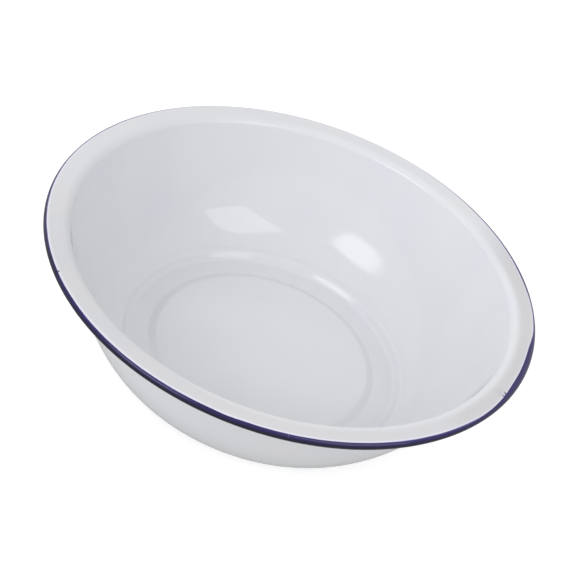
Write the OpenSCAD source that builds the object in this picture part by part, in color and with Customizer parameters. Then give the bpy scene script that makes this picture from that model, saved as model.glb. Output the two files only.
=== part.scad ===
// Enamelled steel wash basin, lying right way up on its foot ring.
// Millimetres. The origin is the centre of the foot ring's underside, +Z is up.
//
// The whole basin is one pressed sheet of steel with coats of enamel fused to both
// faces, so every piece follows the same section. The section is worked out once, as
// stations along the middle of the sheet from the centre of the floor to the end of
// the rolled rim, and each coat lies between two distances from that middle line.

/* [Basin] */
// Diameter over the rolled rim
rim_d = 360; // [320:1:420]
// Height from the table to the top of the rim
basin_h = 103; // [85:1:120]

/* [Floor] */
// Outer diameter of the flat of the foot ring
foot_d = 206; // [180:1:230]
// Width of the flat of the foot ring
foot_w = 13.5; // [9:0.5:18]
// Rise of the floor's middle above the foot ring
floor_rise = 2.1; // [1.2:0.1:3]
// Slope of the step round the floor's middle, in degrees
floor_step_angle = 20; // [15:1:30]
// Radius of that step's two bends
floor_bend_r = 6; // [3:0.5:7]

/* [Wall] */
// Rise of the wall's steep foot above the foot ring
wall_step_rise = 6.8; // [5.4:0.1:8]
// Slope of the steep foot, in degrees
wall_step_angle = 57; // [50:1:62]
// Radius of the bend from the foot ring into the steep foot
gutter_bend_r = 5.2; // [3:0.1:6]
// Radius of the bend from the steep foot into the wall
ledge_bend_r = 4.5; // [2.5:0.1:6]
// Slope of the wall where it leaves that bend, in degrees
wall_foot_angle = 8; // [4:1:14]
// Slope of the wall under the rim, in degrees
wall_top_angle = 76; // [74:1:84]
// How far the wall keeps to its foot slope, as a share of the way to the corner where
// the two slopes would meet
wall_foot_share = 0.46; // [0.3:0.01:0.7]
// How far the wall keeps to its top slope, as a share of the way to that corner
wall_top_share = 0.67; // [0.4:0.01:0.8]

/* [Rim] */
// Width of the flange, from the edge of the rim to the mouth
flange_w = 19; // [16:0.5:26]
// Radius of the rounding between wall and flange, on the upper face
corner_r = 7; // [5:0.5:9]
// Slope of the flange, rising outward, in degrees
flange_angle = 5; // [0:0.5:8]
// Diameter of the rolled edge over its enamel
bead_d = 5.7; // [4:0.1:6.4]
// Width of the slit between the end of the roll and the flange's underside
seam_gap = 0.35; // [0.25:0.05:0.5]
// How far past the top of the rolled edge the coloured band starts, in degrees
band_start_angle = 8; // [1:1:25]

/* [Sheet and enamel] */
// Thickness of the pressed steel sheet
sheet_t = 0.8; // [0.6:0.05:1]
// Thickness of the dark ground coat, the first to be fired
ground_t = 0.12; // [0.1:0.01:0.16]
// Thickness of the cover coat, white or the band's colour
cover_t = 0.2; // [0.16:0.01:0.26]

/* [Hidden] */

// Facets of a turned piece in a preview; the true solids are round
round_fn = 180;
// Chords along one bend of the section: one for each of these many degrees
small_bend_step = 13;
curl_step = 15;
// Chords along the wall
wall_chords = 24;

// Distances of the faces from the sheet's middle line, upward and inward positive
steel_face = sheet_t / 2;
ground_face = steel_face + ground_t;
cover_face = ground_face + cover_t;

// The rolled edge: its centre and the radius of its middle line
bead_r = bead_d / 2;
curl_r = bead_r - cover_face;
bead_place = [rim_d / 2 - bead_r, basin_h - bead_r];

// The sheet rolls down, under and up again, until its coated end comes within the
// seam of the coats under the flange
curl_end_rise = curl_r - cover_face - seam_gap;
curl_angle = 270 + asin(curl_end_rise / bead_r);

// Unit vectors along a slope and square to it, toward the basin's inside
function along(a) = [cos(a), sin(a)];
function square_to(a) = [-sin(a), cos(a)];

// A station is [point, slope]. A bend that starts at a station turns from its slope
// to another one, about a centre on the inner side if the slope grows
function bend(start, to, r, step) =
    let (turn = to - start[1],
         side = turn > 0 ? 1 : -1,
         centre = start[0] + side * r * square_to(start[1]),
         count = max(2, ceil(abs(turn) / step)))
    [for (i = [1 : count])
        let (a = start[1] + turn * i / count)
        [centre - side * r * square_to(a), a]];

// A straight run on from a station
function run(start, length) = [[start[0] + length * along(start[1]), start[1]]];

function last_of(list) = list[len(list) - 1];

// A step up or down from a level run: bend, straight slope, bend back. The slope's
// angle is negative if it goes down. The rise is the height between the step's ends
// without its sign, and last is the slope on which the step ends
function slope_length(angle, first_r, last_r, rise, last) =
    (rise - first_r * (1 - cos(angle)) - last_r * (cos(last) - cos(angle)))
    / sin(abs(angle));
function step(start, angle, first_r, last_r, rise, last) =
    let (first = bend(start, angle, first_r, small_bend_step),
         slope = run(last_of(first), slope_length(angle, first_r, last_r, rise, last)))
    concat(first, slope, bend(slope[0], last, last_r, small_bend_step));

// Floor: level middle, step down to the foot ring, its flat, the wall's steep foot
foot_outer_r = foot_d / 2;
foot_inner_r = foot_outer_r - foot_w;
floor_slope = slope_length(floor_step_angle, floor_bend_r, floor_bend_r, floor_rise, 0);
floor_step_w = 2 * floor_bend_r * sin(floor_step_angle)
               + floor_slope * cos(floor_step_angle);
floor_centre = [[0, cover_face + floor_rise], 0];
floor_edge = run(floor_centre, foot_inner_r - floor_step_w);
floor_step = step(floor_edge[0], -floor_step_angle, floor_bend_r, floor_bend_r,
                  floor_rise, 0);
foot_flat = run(last_of(floor_step), foot_w);
wall_step = step(foot_flat[0], wall_step_angle, gutter_bend_r, ledge_bend_r,
                 wall_step_rise, wall_foot_angle);
wall_foot = last_of(wall_step);

// Rim, worked out from its outer edge inward: the flange ends square to the rolled
// edge's centre, and the rounding's centre lies under the flange
flange_end = bead_place + curl_r * square_to(flange_angle);
corner_line_r = corner_r - cover_face;
corner_centre_r = rim_d / 2 - flange_w + corner_r;
flange_length = (flange_end[0] - corner_centre_r + corner_line_r * sin(flange_angle))
                / cos(flange_angle);
corner_end = flange_end - flange_length * along(flange_angle);
corner_centre = corner_end - corner_line_r * square_to(flange_angle);
wall_top = [corner_centre + corner_line_r * square_to(wall_top_angle), wall_top_angle];

// Wall: one curve that leaves its foot and reaches its top on their slopes. The two
// slopes meet at a corner outside it; the curve is a cubic whose two inner poles lie
// on the way there
reach = wall_top[0] - wall_foot[0];
slope_cross = sin(wall_top_angle - wall_foot_angle);
foot_to_corner = (reach[0] * sin(wall_top_angle) - reach[1] * cos(wall_top_angle))
                 / slope_cross;
top_to_corner = (reach[1] * cos(wall_foot_angle) - reach[0] * sin(wall_foot_angle))
                / slope_cross;
foot_pole = wall_foot[0] + wall_foot_share * foot_to_corner * along(wall_foot_angle);
top_pole = wall_top[0] - wall_top_share * top_to_corner * along(wall_top_angle);
function wall_point(t) =
    pow(1 - t, 3) * wall_foot[0] + 3 * pow(1 - t, 2) * t * foot_pole
    + 3 * (1 - t) * pow(t, 2) * top_pole + pow(t, 3) * wall_top[0];
function wall_way(t) =
    pow(1 - t, 2) * (foot_pole - wall_foot[0]) + 2 * (1 - t) * t * (top_pole - foot_pole)
    + pow(t, 2) * (wall_top[0] - top_pole);
function wall_station(t) =
    let (way = wall_way(t))
    [wall_point(t), atan2(way[1], way[0])];
wall = [for (i = [1 : wall_chords]) wall_station(i / wall_chords)];
corner = bend(wall_top, flange_angle, corner_line_r, small_bend_step);

// Everything from the centre to the end of the rolled edge
sheet_line = concat([floor_centre], floor_edge, floor_step, foot_flat, wall_step,
                    wall, corner);
flange_stop = run(last_of(corner), flange_length);
curl_before_band = bend(flange_stop[0], -band_start_angle, curl_r, curl_step);
curl_in_band = bend(last_of(curl_before_band), flange_angle - curl_angle, curl_r,
                    curl_step);
white_line = concat(sheet_line, flange_stop, curl_before_band);
band_line = concat([last_of(curl_before_band)], curl_in_band);
whole_line = concat(white_line, curl_in_band);

// The underside coats reach over the slit and stop above the end of the roll
underside_stop = run(last_of(corner), flange_length - curl_r);
underside_line = concat(sheet_line, underside_stop);

// A point at a distance from the middle line
function offset_point(station, distance) = station[0] + distance * square_to(station[1]);

// The skin between two distances from a line, turned about the basin's axis
module turned_layer(line, low, high) {
    rotate_extrude($fn = round_fn)
        polygon(concat([for (s = line) offset_point(s, low)],
                       [for (i = [len(line) - 1 : -1 : 0]) offset_point(line[i], high)]));
}

// Pressed sheet: floor, foot ring, wall, flange and hollow rolled edge in one piece
module steel_shell() {
    color([0.55, 0.56, 0.57])
        turned_layer(whole_line, -steel_face, steel_face);
}

// Dark first coat on the upper face and round the rolled edge
module inner_ground_coat() {
    color([0.16, 0.16, 0.19])
        turned_layer(whole_line, steel_face, ground_face);
}

// Dark first coat on the underside
module outer_ground_coat() {
    color([0.16, 0.16, 0.19])
        turned_layer(underside_line, -ground_face, -steel_face);
}

// White cover coat on the upper face, as far as the coloured band
module inner_cover_coat() {
    color([0.84, 0.84, 0.86])
        turned_layer(white_line, ground_face, cover_face);
}

// White cover coat on the underside; the basin stands on its foot ring
module outer_cover_coat() {
    color([0.8, 0.8, 0.82])
        turned_layer(underside_line, -cover_face, -ground_face);
}

// Coloured coat round the rolled edge, butted against the white
module rim_band() {
    color([0.22, 0.21, 0.4])
        turned_layer(band_line, ground_face, cover_face);
}

steel_shell();
inner_ground_coat();
outer_ground_coat();
inner_cover_coat();
outer_cover_coat();
rim_band();
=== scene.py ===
"""Enamelled steel wash basin: its looks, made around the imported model.

Sizes are in millimetres while a shape is worked out, as in the part's source, and in
metres once it is a mesh. Azimuths are in degrees about +Z, from +X; the camera stands
at azimuth 270.
"""

import logging
import math
from dataclasses import dataclass
from enum import Enum
from typing import Any, Iterable, NamedTuple, Sequence

import bpy
import numpy as np
from mathutils import Matrix, Vector, noise


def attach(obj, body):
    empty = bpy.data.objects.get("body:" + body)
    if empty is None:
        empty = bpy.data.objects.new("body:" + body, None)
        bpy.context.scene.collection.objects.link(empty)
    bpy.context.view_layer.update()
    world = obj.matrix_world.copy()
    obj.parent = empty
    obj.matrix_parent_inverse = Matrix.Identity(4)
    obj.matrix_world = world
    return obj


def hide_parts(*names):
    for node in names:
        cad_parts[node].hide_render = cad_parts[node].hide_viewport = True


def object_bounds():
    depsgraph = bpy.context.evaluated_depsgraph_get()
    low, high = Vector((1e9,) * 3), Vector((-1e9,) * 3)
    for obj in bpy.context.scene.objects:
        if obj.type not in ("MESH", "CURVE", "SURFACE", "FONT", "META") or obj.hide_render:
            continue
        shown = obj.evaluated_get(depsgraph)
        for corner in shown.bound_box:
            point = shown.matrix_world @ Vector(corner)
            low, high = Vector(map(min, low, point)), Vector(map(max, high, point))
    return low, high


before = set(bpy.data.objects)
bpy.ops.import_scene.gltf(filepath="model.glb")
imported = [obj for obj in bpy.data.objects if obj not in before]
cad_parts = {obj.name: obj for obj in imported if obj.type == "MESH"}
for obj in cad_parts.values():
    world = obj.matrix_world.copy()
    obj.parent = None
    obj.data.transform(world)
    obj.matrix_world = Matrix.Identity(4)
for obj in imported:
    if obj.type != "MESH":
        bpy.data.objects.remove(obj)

LOG = logging.getLogger("enamel_basin")
MM = 0.001
CAD_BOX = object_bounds()
GLASS_IOR = 1.5
TO_BAND = "to_band"

Pair = tuple[float, float]
Triple = tuple[float, float, float]
Colour = Triple
WHITE: Colour = (1.0, 1.0, 1.0)


# ---- shader expressions

class Shade:
    """A node's output that works in Python expressions on values."""

    def __init__(self, graph: "NodeGraph", socket: bpy.types.NodeSocket | None) -> None:
        """Wraps one output; a node that has no outputs gives an empty wrapper."""
        self.graph = graph
        self.socket = socket

    def _math(self, operation: str, *terms: "Term") -> "Shade":
        """Adds a Math node with the terms as its inputs, in order."""
        return self.graph.node("ShaderNodeMath", {"operation": operation},
                               dict(enumerate(terms)))

    def __add__(self, other: "Term") -> "Shade":
        """self + other"""
        return self._math("ADD", self, other)

    __radd__ = __add__

    def __sub__(self, other: "Term") -> "Shade":
        """self - other"""
        return self._math("SUBTRACT", self, other)

    def __rsub__(self, other: "Term") -> "Shade":
        """other - self"""
        return self._math("SUBTRACT", other, self)

    def __mul__(self, other: "Term") -> "Shade":
        """self * other"""
        return self._math("MULTIPLY", self, other)

    def __truediv__(self, other: "Term") -> "Shade":
        """self / other"""
        return self._math("DIVIDE", self, other)

    def __pow__(self, other: "Term") -> "Shade":
        """self ** other"""
        return self._math("POWER", self, other)

    def __abs__(self) -> "Shade":
        """abs(self)"""
        return self._math("ABSOLUTE", self)

    def sine(self) -> "Shade":
        """The sine of an angle in radians."""
        return self._math("SINE", self)

    def at_most(self, other: "Term") -> "Shade":
        """The smaller of the two."""
        return self._math("MINIMUM", self, other)

    def at_least(self, other: "Term") -> "Shade":
        """The larger of the two."""
        return self._math("MAXIMUM", self, other)

    def rise(self, low: float, high: float) -> "Shade":
        """A soft step from 0 at low to 1 at high; it falls where low is the larger.

        Args:
            low: the value at which the result is 0.
            high: the value at which the result is 1.

        Returns:
            The stepped value.
        """
        start, end, first, last = (low, high, 0.0, 1.0) if low < high else (
            high, low, 1.0, 0.0)
        return self.graph.node(
            "ShaderNodeMapRange", {"interpolation_type": "SMOOTHSTEP"},
            {"Value": self, "From Min": start, "From Max": end, "To Min": first,
             "To Max": last})


Term = Shade | float | int


class NodeGraph:
    """The node tree of one material, lamp or world."""

    def __init__(self, tree: bpy.types.NodeTree) -> None:
        """Takes over a tree and empties it."""
        self.tree = tree
        tree.nodes.clear()

    def node(self, kind: str, settings: dict[str, Any] | None = None,
             inputs: dict[str | int, Any] | None = None,
             output: str | int = 0) -> Shade:
        """Adds any node: its settings first, then its inputs.

        Args:
            kind: the node's type.
            settings: properties of the node.
            inputs: a value or a wrapped socket for each input named.
            output: which of its outputs is handed back.

        Returns:
            That output.
        """
        made = self.tree.nodes.new(kind)
        for name, value in (settings or {}).items():
            setattr(made, name, value)
        for name, value in (inputs or {}).items():
            if isinstance(value, Shade):
                self.tree.links.new(value.socket, made.inputs[name])
            elif isinstance(value, tuple) and made.inputs[name].type == "RGBA":
                made.inputs[name].default_value = (*value, 1.0)
            else:
                made.inputs[name].default_value = value
        return Shade(self, made.outputs[output] if made.outputs else None)

    def place(self) -> Shade:
        """The point on the surface, in metres."""
        return self.node("ShaderNodeTexCoord", output="Object")

    def to_band(self) -> Shade:
        """The mesh's distance from the band's edge, in millimetres."""
        return self.node("ShaderNodeAttribute", {"attribute_name": TO_BAND},
                         output="Fac")

    def ray(self, kind: str) -> Shade:
        """1 for rays of one kind, such as Camera or Glossy, and 0 for the rest."""
        return self.node("ShaderNodeLightPath", output=f"Is {kind} Ray")

    def parts(self, vector: Shade) -> list[Shade]:
        """A vector's three parts."""
        split = self.node("ShaderNodeSeparateXYZ", {}, {"Vector": vector})
        return [Shade(self, part) for part in split.socket.node.outputs]

    def dot(self, vector: Shade, other: Sequence[float]) -> Shade:
        """The dot product of a vector and a fixed one."""
        return self.node("ShaderNodeVectorMath", {"operation": "DOT_PRODUCT"},
                         {0: vector, 1: tuple(other)}, output="Value")

    def axis(self, along: Sequence[float]) -> Shade:
        """How far along a direction the point on the surface is, in millimetres."""
        return self.dot(self.place(), [part / MM for part in along])

    def scaled(self, vector: Shade, factors: Sequence[float]) -> Shade:
        """A vector or a colour with each of its parts multiplied by a factor."""
        return self.node("ShaderNodeVectorMath", {"operation": "MULTIPLY"},
                         {0: vector, 1: tuple(factors)})

    def radius(self) -> Shade:
        """How far from the axis the point on the surface is, in millimetres."""
        flat = self.scaled(self.place(), (1, 1, 0))
        return self.node("ShaderNodeVectorMath", {"operation": "LENGTH"},
                         {0: flat}, output="Value") / MM

    def grain(self, length: float, detail: float = 2.0,
              squeeze: Triple | None = None) -> Shade:
        """Smooth noise about 0.

        Args:
            length: the size of its patches in millimetres.
            detail: how many finer layers it has.
            squeeze: how many times smaller the patches are along each axis.

        Returns:
            A value of about -0.5 to 0.5.
        """
        place = self.scaled(self.place(), squeeze) if squeeze else self.place()
        raw = self.node("ShaderNodeTexNoise", {},
                        {"Vector": place, "Scale": 1 / (length * MM),
                         "Detail": detail})
        return raw - 0.5

    def mixed(self, low: Shade | Colour, high: Shade | Colour, share: Term) -> Shade:
        """A colour between two colours.

        Args:
            low: the colour at 0.
            high: the colour at 1.
            share: where between them.

        Returns:
            The colour.
        """
        return self.node("ShaderNodeMix", {"data_type": "RGBA"},
                         {0: share, 6: low, 7: high}, output=2)

    def bump(self, height: Shade, depth: float) -> Shade:
        """A normal bent by a height.

        Args:
            height: the height, in any unit.
            depth: that unit in millimetres.

        Returns:
            The normal.
        """
        return self.node("ShaderNodeBump", {},
                         {"Strength": 1.0, "Distance": depth * MM, "Height": height})

    def surface(self, inputs: dict[str, Any]) -> None:
        """Ends a material's graph in its shader, with the inputs that are named."""
        shader = self.node("ShaderNodeBsdfPrincipled", {}, inputs)
        self.node("ShaderNodeOutputMaterial", {}, {"Surface": shader})


def spread(zone: Pair, unit: float) -> Pair:
    """A zone that is given in shares of a unit."""
    return zone[0] * unit, zone[1] * unit


def new_material(name: str) -> tuple[bpy.types.Material, NodeGraph]:
    """An empty material with its graph.

    Args:
        name: the material's name.

    Returns:
        The material and its graph.
    """
    made = bpy.data.materials.new(name)
    made.use_nodes = True
    return made, NodeGraph(made.node_tree)


def new_object(name: str, data: bpy.types.ID) -> bpy.types.Object:
    """An object in the scene.

    Args:
        name: the object's name.
        data: its mesh, lamp or camera.

    Returns:
        The object.
    """
    made = bpy.data.objects.new(name, data)
    bpy.context.scene.collection.objects.link(made)
    return made


# ---- the section

Station = Triple


@dataclass(frozen=True)
class Section:
    """The basin's section: a line along the middle of the sheet, and its coats.

    Sizes are in millimetres and degrees. Those from rim_d to cover_t have the names
    and values of the part's source; the others say how finely the mesh follows them
    and how the roll departs from a round one. A station is (distance from the axis,
    height, slope in degrees).
    """

    rim_d: float
    basin_h: float
    foot_d: float = 206.0
    foot_w: float = 13.5
    floor_rise: float = 2.1
    floor_step_angle: float = 20.0
    floor_bend_r: float = 6.0
    wall_step_rise: float = 6.8
    wall_step_angle: float = 57.0
    gutter_bend_r: float = 5.2
    ledge_bend_r: float = 4.5
    wall_foot_angle: float = 8.0
    wall_top_angle: float = 76.0
    wall_foot_share: float = 0.46
    wall_top_share: float = 0.67
    flange_w: float = 19.0
    corner_r: float = 7.0
    flange_angle: float = 5.0
    bead_d: float = 5.7
    seam_gap: float = 0.35
    sheet_t: float = 0.8
    ground_t: float = 0.12
    cover_t: float = 0.2
    bend_step: float = 4.5
    bend_chords: int = 3
    run_step: float = 4.2
    wall_chords: int = 38
    edge_zone: float = 7.0
    roll_oval: float = 0.3
    roll_trim: float = 20.0

    @property
    def steel_face(self) -> float:
        """From the middle line to the steel's face."""
        return self.sheet_t / 2

    @property
    def ground_face(self) -> float:
        """From the middle line to the ground coat's face."""
        return self.steel_face + self.ground_t

    @property
    def cover_face(self) -> float:
        """From the middle line to the cover coat's face."""
        return self.ground_face + self.cover_t

    @property
    def bead_r(self) -> float:
        """Radius of the rolled edge over its enamel."""
        return self.bead_d / 2

    @property
    def curl_r(self) -> float:
        """Radius of the rolled edge's middle line."""
        return self.bead_r - self.cover_face

    @property
    def bead_place(self) -> Pair:
        """The rolled edge's centre."""
        return self.rim_d / 2 - self.bead_r, self.basin_h - self.bead_r

    @property
    def curl_length(self) -> float:
        """Length of the middle line round the rolled edge."""
        rise = self.curl_r - self.cover_face - self.seam_gap
        turn = math.radians(270 - self.roll_trim) + math.asin(rise / self.bead_r)
        return turn * self.curl_r

    @staticmethod
    def _way(slope: float) -> Pair:
        """The unit vector along a slope."""
        return math.cos(math.radians(slope)), math.sin(math.radians(slope))

    def _bend(self, line: list[Station], to: float, radius: float) -> None:
        """Turns the line's end to a new slope.

        Args:
            line: the stations so far; the bend's are added.
            to: the new slope.
            radius: the bend's radius.
        """
        r, z, start = line[-1]
        side = 1 if to > start else -1
        cos, sin = self._way(start)
        centre = (r - side * radius * sin, z + side * radius * cos)
        count = max(self.bend_chords, math.ceil(abs(to - start) / self.bend_step))
        for step in range(1, count + 1):
            slope = start + (to - start) * step / count
            cos, sin = self._way(slope)
            line.append((centre[0] + side * radius * sin,
                         centre[1] - side * radius * cos, slope))

    def _run(self, line: list[Station], length: float) -> None:
        """Goes straight on from the line's end, in even steps.

        Args:
            line: the stations so far; the run's are added.
            length: how far it goes.
        """
        r, z, slope = line[-1]
        cos, sin = self._way(slope)
        count = max(1, math.ceil(length / self.run_step))
        for step in range(1, count + 1):
            way = length * step / count
            line.append((r + way * cos, z + way * sin, slope))

    def _step(self, line: list[Station], angle: float, radii: Pair, rise: float,
              last: float = 0.0) -> None:
        """Goes up or down from a level run: bend, straight slope, bend back.

        Args:
            line: the stations so far; the step's are added.
            angle: slope of the straight stretch, negative if it goes down.
            radii: radius of the first bend and of the last.
            rise: height between the step's ends, without its sign.
            last: the slope on which the step ends.
        """
        steep = math.radians(abs(angle))
        bends = (radii[0] * (1 - math.cos(steep))
                 + radii[1] * (math.cos(math.radians(last)) - math.cos(steep)))
        self._bend(line, angle, radii[0])
        self._run(line, (rise - bends) / math.sin(steep))
        self._bend(line, last, radii[1])

    def _wall(self, line: list[Station], top: Station) -> None:
        """Adds the wall: one cubic between its foot's slope and its top's.

        Args:
            line: the stations so far, to the wall's foot.
            top: the station at which the wall ends.
        """
        foot = np.array(line[-1][:2])
        end = np.array(top[:2])
        foot_way, top_way = (np.array(self._way(a)) for a in (line[-1][2], top[2]))
        cross = math.sin(math.radians(top[2] - line[-1][2]))
        reach = end - foot
        foot_share = (reach[0] * top_way[1] - reach[1] * top_way[0]) / cross
        top_share = (reach[1] * foot_way[0] - reach[0] * foot_way[1]) / cross
        poles = [foot, foot + self.wall_foot_share * foot_share * foot_way,
                 end - self.wall_top_share * top_share * top_way, end]
        for step in range(1, self.wall_chords + 1):
            t = step / self.wall_chords
            point = sum(weight * pole for weight, pole in zip(
                ((1 - t) ** 3, 3 * (1 - t) ** 2 * t, 3 * (1 - t) * t * t, t ** 3),
                poles))
            way = sum(weight * (b - a) for weight, a, b in zip(
                ((1 - t) ** 2, 2 * (1 - t) * t, t * t), poles, poles[1:]))
            line.append((float(point[0]), float(point[1]),
                         math.degrees(math.atan2(way[1], way[0]))))

    def to_flange(self) -> list[Station]:
        """The middle line from the floor's centre to the strip along the band.

        Returns:
            The stations.
        """
        floor_bends = (self.floor_bend_r, self.floor_bend_r)
        trial: list[Station] = [(0.0, 0.0, 0.0)]
        self._step(trial, -self.floor_step_angle, floor_bends, self.floor_rise)
        line: list[Station] = [(0.0, self.cover_face + self.floor_rise, 0.0)]
        self._run(line, self.foot_d / 2 - self.foot_w - trial[-1][0])
        self._step(line, -self.floor_step_angle, floor_bends, self.floor_rise)
        self._run(line, self.foot_w)
        self._step(line, self.wall_step_angle, (self.gutter_bend_r, self.ledge_bend_r),
                   self.wall_step_rise, self.wall_foot_angle)

        cos, sin = self._way(self.flange_angle)
        flange_r = self.bead_place[0] - self.curl_r * sin
        flange_z = self.bead_place[1] + self.curl_r * cos
        corner_line_r = self.corner_r - self.cover_face
        corner_centre_r = self.rim_d / 2 - self.flange_w + self.corner_r
        length = (flange_r - corner_centre_r + corner_line_r * sin) / cos
        centre_z = flange_z - length * sin - corner_line_r * cos
        top_cos, top_sin = self._way(self.wall_top_angle)
        self._wall(line, (corner_centre_r - corner_line_r * top_sin,
                          centre_z + corner_line_r * top_cos, self.wall_top_angle))
        self._bend(line, self.flange_angle, corner_line_r)
        self._run(line, length - self.edge_zone)
        return line

    def rim(self, arc: np.ndarray) -> tuple[np.ndarray, np.ndarray, np.ndarray]:
        """Stations on the flange's edge and round the rolled edge.

        The roll is a little oval, flatter on its upper outer face, as the press
        leaves it, and stays within the round one.

        Args:
            arc: lengths along the middle line from where the flange ends; those on
                the flange are negative.

        Returns:
            Distances from the axis, heights and slopes in radians.
        """
        flange = math.radians(self.flange_angle)
        slope = flange - np.clip(arc, 0, None) / self.curl_r
        ahead = np.clip(arc, None, 0)
        reach = self.curl_r + self.roll_oval * (np.sin(2 * slope)
                                                - math.sin(2 * flange))
        drift = -2 * self.roll_oval * np.cos(2 * slope)
        r = (self.bead_place[0] - reach * np.sin(slope) + drift * np.cos(slope)
             + ahead * math.cos(flange))
        z = (self.bead_place[1] + reach * np.cos(slope) + drift * np.sin(slope)
             + ahead * math.sin(flange))
        return r, z, slope


# ---- hand-made traits

class MarkKind(Enum):
    """What a tool of the firing rack left on the rim."""

    SPECK = "a speck of dark enamel at the band's edge"
    TICK = "a pale tick across the roll"
    SMUDGE = "a smudge of the band's enamel on the flange"


@dataclass(frozen=True)
class FiringMark:
    """One of the three places where the rim rested on the firing rack.

    The azimuth is in degrees, the depth in millimetres.
    """

    azimuth: float
    kind: MarkKind
    pit_depth: float

    def outward(self) -> Triple:
        """The unit vector from the axis through the mark."""
        angle = math.radians(self.azimuth)
        return math.cos(angle), math.sin(angle), 0.0

    def around(self) -> Triple:
        """The unit vector along the rim at the mark."""
        angle = math.radians(self.azimuth)
        return -math.sin(angle), math.cos(angle), 0.0


MARKS = (FiringMark(217.9, MarkKind.SPECK, 0.05),
         FiringMark(280.5, MarkKind.TICK, 0.10),
         FiringMark(336.2, MarkKind.SMUDGE, 0.09))


@dataclass(frozen=True)
class BrushedEdge:
    """The band's inner edge, as the brush left it.

    Each brush point is an azimuth and how far past the roll's top the band starts
    there, in degrees about the roll's centre; below about -5 it starts on the flange.
    Where the brush stopped, the edge turns sharply. Lengths are in millimetres.
    """

    points: tuple[Pair, ...] = (
        (2, 16), (11, 19), (20, -1), (32, -4), (42, -2), (52, 3), (62, 12), (75, 25),
        (124, 27), (134, 17), (152, 14), (163, 19), (172, 28), (181, 29), (195, 28),
        (205, 27), (220, 29), (235, 29), (246, 28), (256, 25), (266.4, 26),
        (268.2, 36), (270, 25), (285, 24), (297, 21), (312, 22), (328, 28), (334, 14),
        (341, -20), (350, -28), (355.5, -27))
    stops: Pair = (268.2, 358.75)
    blur: float = 1.2
    wobble: float = 1.8
    wobble_length: float = 9.0
    rim_r: float = 180.0

    def angles(self, azimuths: np.ndarray) -> np.ndarray:
        """Where the band starts.

        Args:
            azimuths: in degrees.

        Returns:
            Degrees past the roll's top, one for each azimuth.
        """
        places, values = (np.array(row) for row in zip(*self.points))
        places = np.concatenate([places - 360, places, places + 360])
        values = np.tile(values, 3)
        shifts = (0.0, -self.blur, self.blur)
        found = sum(np.interp(azimuths + shift, places, values) for shift in shifts)
        shake = [noise.noise(Vector((math.cos(a), math.sin(a), 0)) * self.rim_r
                             / self.wobble_length) for a in np.radians(azimuths)]
        return found / len(shifts) + self.wobble * np.array(shake)


@dataclass(frozen=True)
class EnamelSkin:
    """How the fired enamel's face departs from the true one; it only gets thinner.

    All sizes are in millimetres.
    """

    wave: float = 0.022
    wave_length: float = 34.0
    ripple: float = 0.006
    ripple_length: float = 11.0
    band_ledge: float = 0.05
    ledge_width: float = 0.45
    pit_width: float = 1.0

    def thinned(self, points: np.ndarray, to_band: np.ndarray) -> np.ndarray:
        """How much thinner the enamel is at each point.

        Args:
            points: places in millimetres, in rows of three.
            to_band: distance of each from the band's edge along the surface, in
                millimetres.

        Returns:
            Thicknesses to take off, in millimetres, never below 0.
        """
        taken = np.empty(len(points))
        for index, (x, y, z) in enumerate(points.tolist()):
            at = Vector((x, y, z))
            taken[index] = (
                self.wave * (1 + noise.noise(at / self.wave_length))
                + self.ripple * (1 + noise.noise(at / self.ripple_length)))
        taken += self.band_ledge * np.exp(-(to_band / self.ledge_width) ** 2)
        for mark in MARKS:
            aside = points @ np.array(mark.around())
            ahead = points @ np.array(mark.outward())
            pit = np.exp(-(aside / self.pit_width) ** 2
                         - (to_band / self.pit_width) ** 2)
            taken += np.where(ahead > 0, mark.pit_depth * pit, 0.0)
        return taken


# ---- finishes

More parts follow.
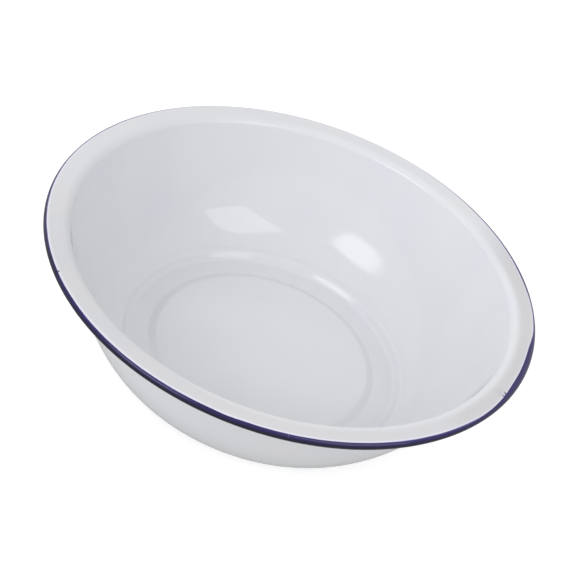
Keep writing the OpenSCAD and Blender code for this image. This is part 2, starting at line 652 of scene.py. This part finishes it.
@dataclass(frozen=True)
class MarkStain:
    """What two of the firing marks leave on the white: a speck and a forked smudge.

    Lengths are in millimetres; sizes are aside and inward. A zone is where the stain
    is 0 and where it is full.
    """

    bleed: Colour = (0.03, 0.028, 0.09)
    bleed_share: float = 0.9
    speck_size: Pair = (0.9, 0.8)
    speck_outward: float = 0.6
    speck_zone: Pair = (1.2, 0.4)
    haze: Colour = (0.27, 0.30, 0.46)
    haze_share: float = 0.14
    haze_size: Pair = (4.2, 5.2)
    haze_inward: float = 4.0
    haze_ragged: float = 1.2
    haze_zone: Pair = (1.0, 0.1)
    prongs: tuple[Pair, ...] = ((-1.0, 2.0), (1.0, 2.7))
    prong_root: float = 1.2
    prong_lean: float = 0.7
    prong_apart: float = 0.2
    prong_ragged: Pair = (0.9, 1.6)
    prong_zone: Pair = (0.95, 0.45)
    prong_tip: float = 1.2
    ragged_length: float = 1.6

    def over(self, g: NodeGraph, colour: Shade, section: Section) -> Shade:
        """Lays the stains over a colour.

        Args:
            g: the material's graph.
            colour: the colour beneath.
            section: gives the place of the rim.

        Returns:
            The colour with the stains on it.
        """
        for mark in MARKS:
            aside = g.axis(mark.around())
            inward = section.bead_place[0] - g.axis(mark.outward())
            if mark.kind is MarkKind.SMUDGE:
                colour = self._smudged(g, colour, aside, inward)
            elif mark.kind is MarkKind.SPECK:
                width, length = self.speck_size
                spot = (aside / width) ** 2 + (
                    (inward + self.speck_outward) / length) ** 2
                colour = g.mixed(colour, self.bleed,
                                 spot.rise(*self.speck_zone) * self.bleed_share)
        return colour

    def _smudged(self, g: NodeGraph, colour: Shade, aside: Shade,
                 inward: Shade) -> Shade:
        """Lays the smudge over a colour: a haze, and prongs that spread inward.

        Args:
            g: the material's graph.
            colour: the colour beneath.
            aside: distance along the rim from the mark's middle.
            inward: distance inward from the roll's centre.

        Returns:
            The colour with the smudge on it.
        """
        ragged = g.grain(self.ragged_length, detail=3.0)
        width, length = self.haze_size
        haze = ((aside / width) ** 2 + ((inward - self.haze_inward) / length) ** 2
                + ragged * self.haze_ragged)
        colour = g.mixed(colour, self.haze,
                         haze.rise(*self.haze_zone) * self.haze_share)
        fray_aside, fray_inward = self.prong_ragged
        for side, reach in self.prongs:
            middle = ((inward + self.prong_root) * self.prong_lean
                      + self.prong_apart) * side
            within = abs(aside - middle + ragged * fray_aside).rise(*self.prong_zone)
            before_tip = (inward + ragged * fray_inward).rise(
                reach, reach - self.prong_tip)
            colour = g.mixed(colour, self.bleed,
                             within * before_tip * self.bleed_share)
        return colour


@dataclass(frozen=True)
class WhiteEnamel:
    """Glossy white cover coat, stained at the firing marks, worn on the foot ring.

    Lengths are in millimetres. A zone is where something is 0 and where it is full,
    the flange's painted shade from the mouth outward. That painted shade darkens the
    flange most on the right and near sides, and on the lit side it starts further out,
    leaving the mouth's rounding there brighter. The zones of the lit, right and near
    side are shares of the rim's radius.
    """

    cool: Colour = (0.697, 0.713, 0.752)
    warm: Colour = (0.727, 0.731, 0.752)
    tone_length: float = 55.0
    tone_contrast: float = 1.6
    # painted shade: the flange's colour is darkened by this factor within its zone
    flange_tint: Colour = (0.80, 0.784, 0.775)
    flange_zone: Pair = (-2.0, 4.5)
    lit_way: Triple = (0.75, -0.66, 0.0)
    lit_zone: Pair = (0.1, 0.6)
    lit_shift: float = 4.5
    right_zone: Pair = (0.66, 0.88)
    right_share: float = 0.7
    near_zone: Pair = (-0.2, 0.6)
    near_share: float = 0.52
    least_share: float = 0.15
    edge: Colour = (0.70, 0.70, 0.84)
    edge_zone: Pair = (1.6, 0.3)
    edge_share: float = 0.55
    stain: MarkStain = MarkStain()
    worn: Colour = (0.50, 0.50, 0.49)
    worn_share: float = 0.75
    rub_zone: Pair = (0.22, 0.02)
    rub_length: float = 2.6
    rub_contrast: float = 2.4
    rub_middle: float = 0.55
    rub_roughness: float = 0.3
    roughness: float = 0.025
    haze: float = 0.012
    haze_length: float = 18.0
    peel_depth: float = 0.0032
    peel_lengths: Pair = (3.4, 9.0)
    peel_coarse: float = 1.6
    ring_depth: float = 0.0006
    ring_radius: float = 123.0
    ring_reach: Pair = (-16.0, 14.0)
    ring_turn: float = 1.35
    ring_drift: float = 6.0
    ring_drift_length: float = 60.0
    ring_fade: float = 30.0

    def material(self, section: Section) -> bpy.types.Material:
        """Builds the material.

        Args:
            section: gives the places of the foot ring and the rim.

        Returns:
            The material.
        """
        made, g = new_material("white_enamel_fired")
        colour = self._white(g, section)
        colour = g.mixed(colour, self.edge,
                         g.to_band().rise(*self.edge_zone) * self.edge_share)
        colour = self.stain.over(g, colour, section)
        patches = g.grain(self.rub_length, detail=4.0) * self.rub_contrast
        rub = (g.axis((0, 0, 1)).rise(*self.rub_zone)
               * (patches + self.rub_middle).at_least(0.0)).at_most(1.0)
        colour = g.mixed(colour, self.worn, rub * self.worn_share)
        haze = g.grain(self.haze_length) * self.haze
        g.surface({"Base Color": colour, "IOR": GLASS_IOR,
                   "Roughness": haze + self.roughness + rub * self.rub_roughness,
                   "Normal": self._normal(g, section)})
        return made

    def _white(self, g: NodeGraph, section: Section) -> Shade:
        """The white itself, in cool and warm patches, with painted shade on the flange.

        Args:
            g: the material's graph.
            section: gives the places of the mouth and the rim.

        Returns:
            The colour.
        """
        patches = g.grain(self.tone_length) * self.tone_contrast + 0.5
        colour = g.mixed(self.cool, self.warm, patches.rise(0.0, 1.0))
        rim = section.rim_d / 2
        mouth = rim - section.flange_w
        # painted shade on the flange: most on the right and near sides and a little
        # everywhere; on the lit side it starts further out, so the mouth's rounding stays
        # brighter
        lit = g.axis(self.lit_way).rise(*spread(self.lit_zone, rim))
        right = g.axis((1, 0, 0)).rise(*spread(self.right_zone, rim))
        near = g.axis((0, -1, 0)).rise(*spread(self.near_zone, rim))
        start, full = self.flange_zone
        outward = g.radius() - lit * self.lit_shift
        on_flange = outward.rise(mouth + start, mouth + full)
        share = (right * self.right_share + near * self.near_share
                 + self.least_share).at_most(1.0)
        return g.mixed(colour, g.scaled(colour, self.flange_tint), on_flange * share)

    def _normal(self, g: NodeGraph, section: Section) -> Shade:
        """The fine relief: orange peel, and pressing rings in the wall.

        Args:
            g: the material's graph.
            section: gives the place of the foot ring.

        Returns:
            The normal.
        """
        radius = g.radius()
        drift = g.grain(self.ring_drift_length) * self.ring_drift
        rings = (radius * self.ring_turn + drift).sine()
        from_ring = radius - self.ring_radius
        inner, outer = self.ring_reach
        pressed = (rings * from_ring.rise(inner, 0.0) * from_ring.rise(outer, 0.0)
                   * self.ring_depth)
        on_wall = (radius - section.foot_d / 2).rise(0.0, self.ring_fade)
        fine, coarse = self.peel_lengths
        peel = (g.grain(fine, detail=1.0)
                + g.grain(coarse, detail=0.0) * self.peel_coarse)
        return g.bump(peel * self.peel_depth + pressed * on_wall, 1.0)


@dataclass(frozen=True)
class NavyEnamel:
    """Glossy navy cover coat, brushed on: thin and violet above, painted shade below.

    Zones of height are in shares of the roll's radius from its middle. The zone of the
    left side, where the painted shade on the roll's underside reaches higher, is in
    shares of the rim's radius. The others are in millimetres, as all lengths are. The
    ragged values say how far the brush's streaks fray a zone.
    """

    navy: Colour = (0.011, 0.007, 0.070)
    violet: Colour = (0.022, 0.016, 0.104)
    violet_zone: Pair = (0.42, 0.85)
    violet_ragged: float = 0.5
    # painted shade: the colour toward which the roll's underside is darkened
    deep: Colour = (0.001, 0.001, 0.012)
    deep_zone: Pair = (0.62, -0.12)
    deep_ragged: float = 0.35
    left_way: Triple = (-0.9, -0.44, 0.0)
    left_zone: Pair = (0.955, 0.985)
    left_lift: float = 0.3
    thin: Colour = (0.13, 0.12, 0.29)
    thin_zone: Pair = (0.5, 0.0)
    thin_ragged: float = 0.5
    thin_share: float = 0.65
    tick: Colour = (0.10, 0.09, 0.22)
    tick_zone: Pair = (0.1, 0.7)
    tick_ragged: float = 0.4
    tick_edge: Pair = (0.5, 0.15)
    tick_lean: float = 0.6
    tick_share: float = 0.7
    streak_squeeze: Triple = (1.0, 1.0, 7.0)
    streak_length: float = 7.0
    streak_depth: float = 0.012
    patch_length: float = 38.0
    roughness: float = 0.015
    haze: float = 0.03
    haze_length: float = 4.0
    gloss: float = 0.33

    def material(self, section: Section) -> bpy.types.Material:
        """Builds the material.

        Args:
            section: gives the place of the roll.

        Returns:
            The material.
        """
        made, g = new_material("navy_enamel_brushed")
        height = (g.axis((0, 0, 1)) - section.bead_place[1]) / section.bead_r
        streaks = g.grain(self.streak_length, 3.0, self.streak_squeeze)
        patches = g.grain(self.patch_length, detail=1.0)
        brushed = (height + streaks * self.violet_ragged
                   + patches * self.violet_ragged)
        colour = g.mixed(self.navy, self.violet, brushed.rise(*self.violet_zone))
        # painted shade: the roll's underside darkened, reaching higher on the left side
        left = g.axis(self.left_way).rise(
            *spread(self.left_zone, section.rim_d / 2))
        low = height + streaks * self.deep_ragged - left * self.left_lift
        colour = g.mixed(colour, self.deep, low.rise(*self.deep_zone))
        from_edge = g.to_band() + streaks * self.thin_ragged - patches
        colour = g.mixed(colour, self.thin,
                         from_edge.rise(*self.thin_zone) * self.thin_share)
        for mark in MARKS:
            if mark.kind is MarkKind.TICK:
                aside = g.axis(mark.around()) + height * self.tick_lean
                above = height + streaks * self.tick_ragged
                tick = abs(aside).rise(*self.tick_edge) * above.rise(*self.tick_zone)
                colour = g.mixed(colour, self.tick, tick * self.tick_share)
        haze = g.grain(self.haze_length) * self.haze
        g.surface({"Base Color": colour, "IOR": GLASS_IOR,
                   "Specular IOR Level": self.gloss,
                   "Roughness": haze + self.roughness,
                   "Normal": g.bump(streaks, self.streak_depth)})
        return made


@dataclass(frozen=True)
class TwoToneFinish:
    """A finish with one noise in its tones, its gloss and its relief.

    Lengths are in millimetres. A second, coarser noise may stain it.
    """

    name: str
    base: Colour
    other: Colour
    other_zone: Pair
    length: float
    depth: float
    roughness: float
    metallic: float = 0.0
    squeeze: Triple | None = None
    stain_length: float | None = None
    stain_ragged: float = 0.4
    haze: float = 0.2

    def material(self) -> bpy.types.Material:
        """Builds the material.

        Returns:
            The material.
        """
        made, g = new_material(self.name)
        tone = grain = g.grain(self.length, 4.0, self.squeeze)
        if self.stain_length:
            tone = g.grain(self.stain_length, 4.0) + grain * self.stain_ragged
        g.surface({"Base Color": g.mixed(self.base, self.other,
                                         tone.rise(*self.other_zone)),
                   "Metallic": self.metallic, "IOR": GLASS_IOR,
                   "Roughness": grain * self.haze + self.roughness,
                   "Normal": g.bump(grain, self.depth)})
        return made


# blue-black glass with fine gas bubbles
GROUND_ENAMEL = TwoToneFinish(
    "ground_enamel_fired", (0.012, 0.013, 0.022), (0.035, 0.038, 0.055), (-0.1, 0.4),
    length=0.9, depth=0.01, roughness=0.22)
# pickled low-carbon sheet, drawn in the press
PRESSED_STEEL = TwoToneFinish(
    "pressed_steel", (0.55, 0.56, 0.57), (0.36, 0.35, 0.34), (0.0, 0.4), length=1.4,
    depth=0.02, roughness=0.38, metallic=1.0, squeeze=(1.0, 1.0, 0.1),
    stain_length=24.0)


# ---- the basin

@dataclass
class Basin:
    """The pressed sheet and the coats of enamel fused to it.

    The band's edge has its own row of stations; before_band and after_band are the
    distances of the rows beside it. Around each mark the meridians are closer.
    """

    section: Section
    skin: EnamelSkin = EnamelSkin()
    brush: BrushedEdge = BrushedEdge()
    segments: int = 240
    fine_zone: float = 2.25
    fine_step: float = 0.25
    closest_share: float = 0.6
    before_band: tuple[float, ...] = (3.4, 2.2, 1.4, 0.9, 0.6, 0.4, 0.2, 0.0)
    after_band: tuple[float, ...] = (0.16, 0.32, 0.5, 0.75)
    curl_steps: int = 34
    far_from_band: float = 99.0
    sharp_angle: float = 50.0

    def __post_init__(self) -> None:
        """Works out the grid of stations that every layer shares."""
        self.azimuths = self._azimuths()
        count = len(self.azimuths)
        base = np.array(self.section.to_flange())
        turned = [np.repeat(base[:, [part]], count, axis=1) for part in range(3)]
        turned[2] = np.radians(turned[2])
        rim = self.section.rim(self._rim_arcs())
        self.grid = [np.concatenate(pair) for pair in zip(turned, rim)]
        self.base_rows = len(base)
        self.band_row = len(base) + len(self.before_band) - 1
        steps = np.hypot(np.diff(self.grid[0], axis=0), np.diff(self.grid[1], axis=0))
        run = np.concatenate([np.zeros((1, count)), np.cumsum(steps, axis=0)])
        self.to_band = np.abs(run - run[self.band_row])

    def _azimuths(self) -> np.ndarray:
        """Azimuths of the mesh's meridians, closer at the marks and the brush's stops.

        Returns:
            Degrees, rising.
        """
        even = np.arange(self.segments) * 360 / self.segments
        found = set(np.round(even, 4).tolist())
        for middle in [mark.azimuth for mark in MARKS] + list(self.brush.stops):
            found |= {round(float(a) % 360, 4) for a in np.arange(
                middle - self.fine_zone, middle + self.fine_zone, self.fine_step)}
        rising = sorted(found)
        kept = [rising[0]]
        for azimuth in rising[1:]:
            if azimuth - kept[-1] > self.fine_step * self.closest_share:
                kept.append(azimuth)
        return np.array(kept)

    def _rim_arcs(self) -> np.ndarray:
        """Lengths along the middle line at which the rim has stations.

        Returns:
            One row for each station, one column for each azimuth.
        """
        section = self.section
        turned = self.brush.angles(self.azimuths) + section.flange_angle
        radius = np.where(turned > 0, section.curl_r, section.bead_r)
        edge = np.radians(turned) * radius
        rows = [edge - way for way in self.before_band]
        rows += [edge + way for way in self.after_band]
        start = rows[-1]
        rows += [start + (section.curl_length - start) * step / self.curl_steps
                 for step in range(1, self.curl_steps + 1)]
        return np.array(rows)

    def _face(self, rows: slice, distance: float, fired: bool = False) -> np.ndarray:
        """Points of a face at a distance from the sheet's middle line.

        Args:
            rows: which stations it covers.
            distance: from the middle line, upward and inward positive.
            fired: whether it is a glazed face, which departs from the true one.

        Returns:
            Points in millimetres: station, azimuth, coordinate.
        """
        r, z, slope = (part[rows] for part in self.grid)
        angle = np.radians(self.azimuths)

        def turned(offset: np.ndarray) -> np.ndarray:
            """Points at the offset from the middle line."""
            out = r - offset * np.sin(slope)
            return np.stack([out * np.cos(angle), out * np.sin(angle),
                             z + offset * np.cos(slope)], axis=-1)

        points = turned(np.full_like(r, distance))
        if not fired:
            return points
        to_band = (self.to_band[rows] if distance > 0
                   else np.full_like(r, self.far_from_band))
        taken = self.skin.thinned(points.reshape(-1, 3), to_band.ravel())
        taken = taken.reshape(r.shape)
        if r[0, 0] == 0:
            taken[0] = taken[0].mean()
        return turned(distance - math.copysign(1, distance) * taken)

    @staticmethod
    def _faces(numbers: np.ndarray, count: int) -> list[list[int]]:
        """Faces of a closed skin between a lower grid of vertices and an upper one.

        Args:
            numbers: the lower grid's vertex numbers: station, azimuth. A first
                station on the axis has one number all round.
            count: how much higher the upper grid's numbers are.

        Returns:
            Each face's vertex numbers.
        """
        low = np.concatenate([numbers, numbers[:, :1]], axis=1)
        grids = (low.tolist(), (low + count).tolist())
        rows, columns = numbers.shape
        on_axis = numbers[0, 0] == numbers[0, -1]
        faces: list[list[int]] = []
        for row in range(rows - 1):
            for column in range(columns):
                for side in (1, 0):
                    here, after = grids[side][row], grids[side][row + 1]
                    corners = [here[column], after[column], after[column + 1]]
                    if row or not on_axis:
                        corners.append(here[column + 1])
                    faces.append(corners if side else corners[::-1])
        for row, side in ([(rows - 1, 1)] if on_axis else [(rows - 1, 1), (0, 0)]):
            here, across = grids[side][row], grids[1 - side][row]
            for column in range(columns):
                faces.append([here[column], across[column], across[column + 1],
                              here[column + 1]])
        return faces

    def _skin(self, name: str, low: np.ndarray, high: np.ndarray,
              to_band: np.ndarray) -> bpy.types.Object:
        """A closed skin between two faces.

        Args:
            name: the piece's name.
            low: the lower face's points in millimetres.
            high: the upper face's points.
            to_band: each station's distance from the band's edge.

        Returns:
            The object.
        """
        kept = np.ones(low.shape[:2], dtype=bool)
        if np.all(high[0, :, :2] == 0):
            kept[0, 1:] = False
        numbers = np.cumsum(kept).reshape(kept.shape) - 1
        points = np.concatenate([low[kept], high[kept]]) * MM
        mesh = bpy.data.meshes.new(name)
        mesh.from_pydata(points.tolist(), [], self._faces(numbers, int(kept.sum())))
        mesh.shade_smooth()
        mesh.set_sharp_from_angle(angle=math.radians(self.sharp_angle))
        attribute = mesh.attributes.new(TO_BAND, "FLOAT", "POINT")
        attribute.data.foreach_set("value", np.tile(to_band[kept], 2))
        return new_object(name, mesh)

    def build(self) -> None:
        """Builds, dresses and fits every piece, from the sheet outward."""
        section = self.section
        steel, ground, cover = (section.steel_face, section.ground_face,
                                section.cover_face)
        whole = slice(0, None)
        under = slice(0, self.base_rows + 1)
        white = slice(0, self.band_row + 1)
        band = slice(self.band_row, None)
        white_finish = WhiteEnamel().material(section)
        ground_finish = GROUND_ENAMEL.material()
        pieces = (
            ("pressed_sheet", "steel_shell", "steel", whole,
             -steel, steel, PRESSED_STEEL.material()),
            ("ground_coat_inside", "inner_ground_coat", "ground_enamel", whole,
             steel, ground, ground_finish),
            ("ground_coat_outside", "outer_ground_coat", "ground_enamel", under,
             -steel, -ground, ground_finish),
            ("white_coat_inside", "inner_cover_coat", "white_enamel", white,
             ground, cover, white_finish),
            ("white_coat_outside", "outer_cover_coat", "white_enamel", under,
             -ground, -cover, white_finish),
            ("navy_rim_band", "rim_band", "navy_enamel", band,
             ground, cover, NavyEnamel().material(section)))
        for name, node, slot, rows, near, far, finish in pieces:
            inner = self._face(rows, near)
            outer = self._face(rows, far, fired=abs(far) == cover)
            low, high = (inner, outer) if far > near else (outer, inner)
            made = self._skin(name, low, high, self.to_band[rows])
            made.data.materials.append(finish)
            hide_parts(node)
            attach(made, "root")
            LOG.info("%s: %d faces", name, len(made.data.polygons))


# ---- the studio

@dataclass(frozen=True)
class SoftBox:
    """A studio lamp; its cloth dims toward the edges. Sizes are in metres.

    It faces along away, turned round: across points along its width. The corners are
    cut by the exponent of its outline, which is 2 for an ellipse.
    """

    name: str
    place: Triple
    away: Triple
    across: Triple
    width: float
    height: float
    radiance: float
    corners: float
    soft_share: float

    def build(self) -> None:
        """Hangs the lamp."""
        lamp = bpy.data.lights.new(self.name, "AREA")
        lamp.shape = "RECTANGLE"
        lamp.size, lamp.size_y = self.width, self.height
        lamp.energy = math.pi * self.width * self.height * self.radiance
        lamp.use_nodes = True
        g = NodeGraph(lamp.node_tree)
        on_cloth = g.parts(g.node("ShaderNodeNewGeometry", output="Parametric"))[:2]
        out = sum((abs(part - 0.5) * 2) ** self.corners for part in on_cloth)
        bright = (out ** (1 / self.corners)).rise(1.0, 1.0 - self.soft_share)
        glow = g.node("ShaderNodeEmission", {}, {"Color": WHITE, "Strength": bright})
        g.node("ShaderNodeOutputLight", {}, {"Surface": glow})
        away = Vector(self.away).normalized()
        wide = (Vector(self.across) - away * away.dot(Vector(self.across))).normalized()
        turn = Matrix((wide, away.cross(wide), away)).transposed().to_4x4()
        made = new_object(self.name, lamp)
        made.matrix_world = Matrix.Translation(Vector(self.place)) @ turn
        LOG.info("%s: %.1f W", self.name, lamp.energy)


class Glow(NamedTuple):
    """A side of the surroundings that is brighter than the rest."""

    toward: Triple
    strength: float


@dataclass(frozen=True)
class Studio:
    """Floor, surroundings, lamps and camera.

    The floor is in metres. The camera's lens, sensor and distance are in millimetres,
    its angles in degrees, and aim_shift is where the rim's centre lies in the picture,
    in pixels right and down from the middle.
    """

    section: Section
    fill: float = 0.665
    glows: tuple[Glow, ...] = (
        Glow((1, 0, 0), 0.08), Glow((-1, 0, 0), 0.58), Glow((0, 1, 0), 0.03),
        Glow((0, -1, 0), 0.34))
    floor_colour: Colour = (0.6, 0.6, 0.6)
    floor_half: float = 4.0
    floor_drop: float = 5e-5
    floor_lift: float = 0.6
    mirror_lift: float = 0.08
    cloth_length: float = 60.0
    cloth_contrast: float = 0.01
    lens: float = 75.57
    sensor: float = 36.0
    distance: float = 861.9
    elevation: float = 36.865
    roll: float = 20.244
    aim_shift: Pair = (10.21, -34.09)
    frame_width: int = 576
    view_end: float = 50.0
    lamps: tuple[SoftBox, ...] = (
        SoftBox("softbox_right", place=(0.766, -0.707, 0.734),
                away=(0.223, 0.166, 0.961), across=(0.264, 0.938, -0.223),
                width=0.81, height=0.99, radiance=1.75, corners=12.0,
                soft_share=0.18),
        SoftBox("softbox_left", place=(-0.621, -0.886, 0.664),
                away=(-0.637, -0.105, 0.764), across=(0.394, -0.896, 0.206),
                width=1.02, height=0.56, radiance=3.35, corners=3.0,
                soft_share=0.45))

    def _world(self) -> None:
        """White surroundings; as a light they are dimmer, and uneven."""
        world = bpy.data.worlds.new("studio_surroundings")
        world.use_nodes = True
        bpy.context.scene.world = world
        g = NodeGraph(world.node_tree)
        seen = g.ray("Camera").at_least(g.ray("Glossy"))
        aim = g.node("ShaderNodeTexCoord", output="Generated")
        soft = sum((g.dot(aim, glow.toward).at_least(0.0) * glow.strength
                    for glow in self.glows), self.fill)
        light = g.node("ShaderNodeBackground", {},
                       {"Color": WHITE, "Strength": seen + (1 - seen) * soft})
        g.node("ShaderNodeOutputWorld", {}, {"Surface": light})

    def _floor(self) -> None:
        """A pale floor, lifted so that it reads as white where nothing shades it."""
        half, low = self.floor_half, -self.floor_drop
        mesh = bpy.data.meshes.new("studio_floor")
        mesh.from_pydata([(-half, -half, low), (half, -half, low), (half, half, low),
                          (-half, half, low)], [], [(0, 1, 2, 3)])
        floor = new_object("studio_floor", mesh)
        made, g = new_material("pale_floor")
        lift = g.ray("Camera") * self.floor_lift + g.ray("Glossy") * self.mirror_lift
        cloth = g.grain(self.cloth_length) * self.cloth_contrast + 1.0
        matt = g.node("ShaderNodeBsdfDiffuse", {}, {"Color": self.floor_colour})
        glow = g.node("ShaderNodeEmission", {},
                      {"Color": WHITE, "Strength": lift * cloth})
        both = g.node("ShaderNodeAddShader", {}, {0: matt, 1: glow})
        g.node("ShaderNodeOutputMaterial", {}, {"Surface": both})
        mesh.materials.append(made)
        LOG.info("studio_floor: %.0f m across", 2 * half)

    def _camera(self) -> None:
        """The photograph's camera, fitted to the rim, the rings and the outer wall."""
        elevation, roll = math.radians(self.elevation), math.radians(self.roll)
        cos, sin = math.cos(elevation), math.sin(elevation)
        upright = Matrix(((1, 0, 0), (0, -sin, -cos), (0, cos, -sin)))
        focal = self.lens / self.sensor * self.frame_width
        ray = Vector((self.aim_shift[0] / focal, self.aim_shift[1] / focal, 1.0))
        ray.normalize()
        onto_ray = Vector((0, 0, 1)).rotation_difference(ray).to_matrix()
        turn = onto_ray @ Matrix.Rotation(roll, 3, "Z") @ upright
        rim_centre = Vector((0, 0, self.section.bead_place[1])) * MM
        place = rim_centre - turn.transposed() @ (ray * self.distance * MM)
        right, down, ahead = turn
        axes = Matrix((right, -Vector(down), -Vector(ahead))).transposed()
        camera = bpy.data.cameras.new("photo_camera")
        camera.lens, camera.sensor_width = self.lens, self.sensor
        camera.clip_end = self.view_end
        made = new_object("photo_camera", camera)
        made.matrix_world = Matrix.Translation(place) @ axes.to_4x4()
        bpy.context.scene.camera = made

    def build(self) -> None:
        """Sets the studio up."""
        bpy.context.scene.view_settings.view_transform = "Standard"
        self._camera()
        self._world()
        self._floor()
        for lamp in self.lamps:
            lamp.build()


def main() -> None:
    """Builds the studio and the basin."""
    logging.basicConfig(level=logging.INFO, format="%(name)s %(message)s")
    low, high = CAD_BOX
    radius = min(high.x, high.y, -low.x, -low.y)
    section = Section(rim_d=2 * radius / MM, basin_h=high.z / MM)
    Studio(section).build()
    Basin(section).build()


if __name__ == "__main__":
    main()
